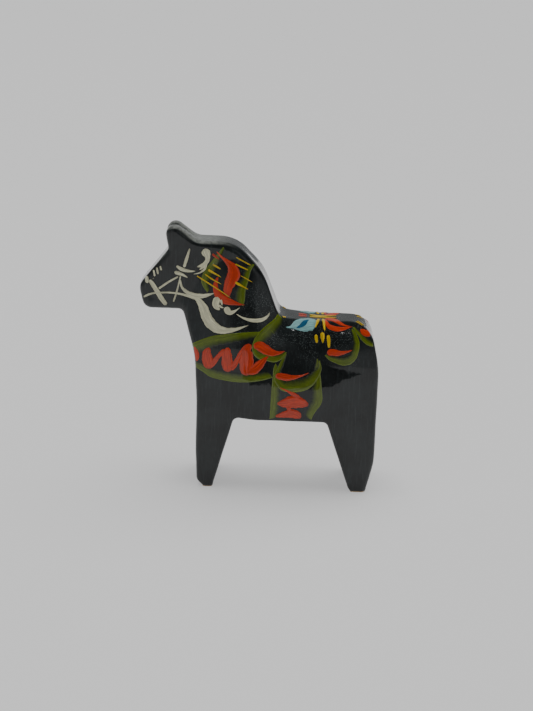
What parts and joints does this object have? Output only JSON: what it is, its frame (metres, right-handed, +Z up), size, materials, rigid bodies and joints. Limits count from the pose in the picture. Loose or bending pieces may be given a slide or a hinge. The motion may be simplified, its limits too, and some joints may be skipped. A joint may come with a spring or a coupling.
{
  "type": "dala horse",
  "caption": "Carved wooden folk-art horse standing on straight legs, black ground coat with hand-painted harness, saddle and leaf figures; stands on its four flat soles.",
  "frame": {"origin": "on the ground below the middle of the horse's bounding box", "axes": "+Z up, the horse looks along -X, its left side faces -Y"},
  "size_m": [0.092, 0.0308, 0.1001],
  "materials": {
    "pine": "bare planed softwood",
    "black_enamel": "gloss enamel under clear varnish",
    "cream_paint": "brushed, varnished",
    "green_paint": "brushed, shaded to the ground colour, varnished",
    "red_paint": "brushed, varnished",
    "light_blue_paint": "brushed, varnished",
    "dark_blue_paint": "brushed, varnished",
    "yellow_paint": "brushed, varnished"
  },
  "bodies": {
    "root": {"wood_body": "pine", "base_coat": "black_enamel", "left_mane_panel_green": "green_paint", "left_breast_band_green": "green_paint", "left_saddle_leaves_green": "green_paint", "left_girth_green": "green_paint", "left_rump_leaf_green": "green_paint", "left_mane_red_leaves": "red_paint", "left_breast_band_red": "red_paint", "left_saddle_leaves_red": "red_paint", "left_girth_red": "red_paint", "left_rump_red": "red_paint", "left_saddle_red_petals": "red_paint", "left_saddle_blue_petal": "light_blue_paint", "left_saddle_blue_heart": "dark_blue_paint", "left_saddle_yellow_dashes": "yellow_paint", "left_mane_yellow_dashes": "yellow_paint", "left_halter": "cream_paint", "left_forehead_dashes": "cream_paint", "left_ear_scroll": "cream_paint", "left_rein_scroll": "cream_paint", "left_mane_fringe": "cream_paint", "right_mane_panel_green": "green_paint", "right_breast_band_green": "green_paint", "right_saddle_leaves_green": "green_paint", "right_girth_green": "green_paint", "right_rump_leaf_green": "green_paint", "right_mane_red_leaves": "red_paint", "right_breast_band_red": "red_paint", "right_saddle_leaves_red": "red_paint", "right_girth_red": "red_paint", "right_rump_red": "red_paint", "right_saddle_red_petals": "red_paint", "right_saddle_blue_petal": "light_blue_paint", "right_saddle_blue_heart": "dark_blue_paint", "right_saddle_yellow_dashes": "yellow_paint", "right_mane_yellow_dashes": "yellow_paint", "right_halter": "cream_paint", "right_forehead_dashes": "cream_paint", "right_ear_scroll": "cream_paint", "right_rein_scroll": "cream_paint", "right_mane_fringe": "cream_paint"}
  },
  "joints": []
}
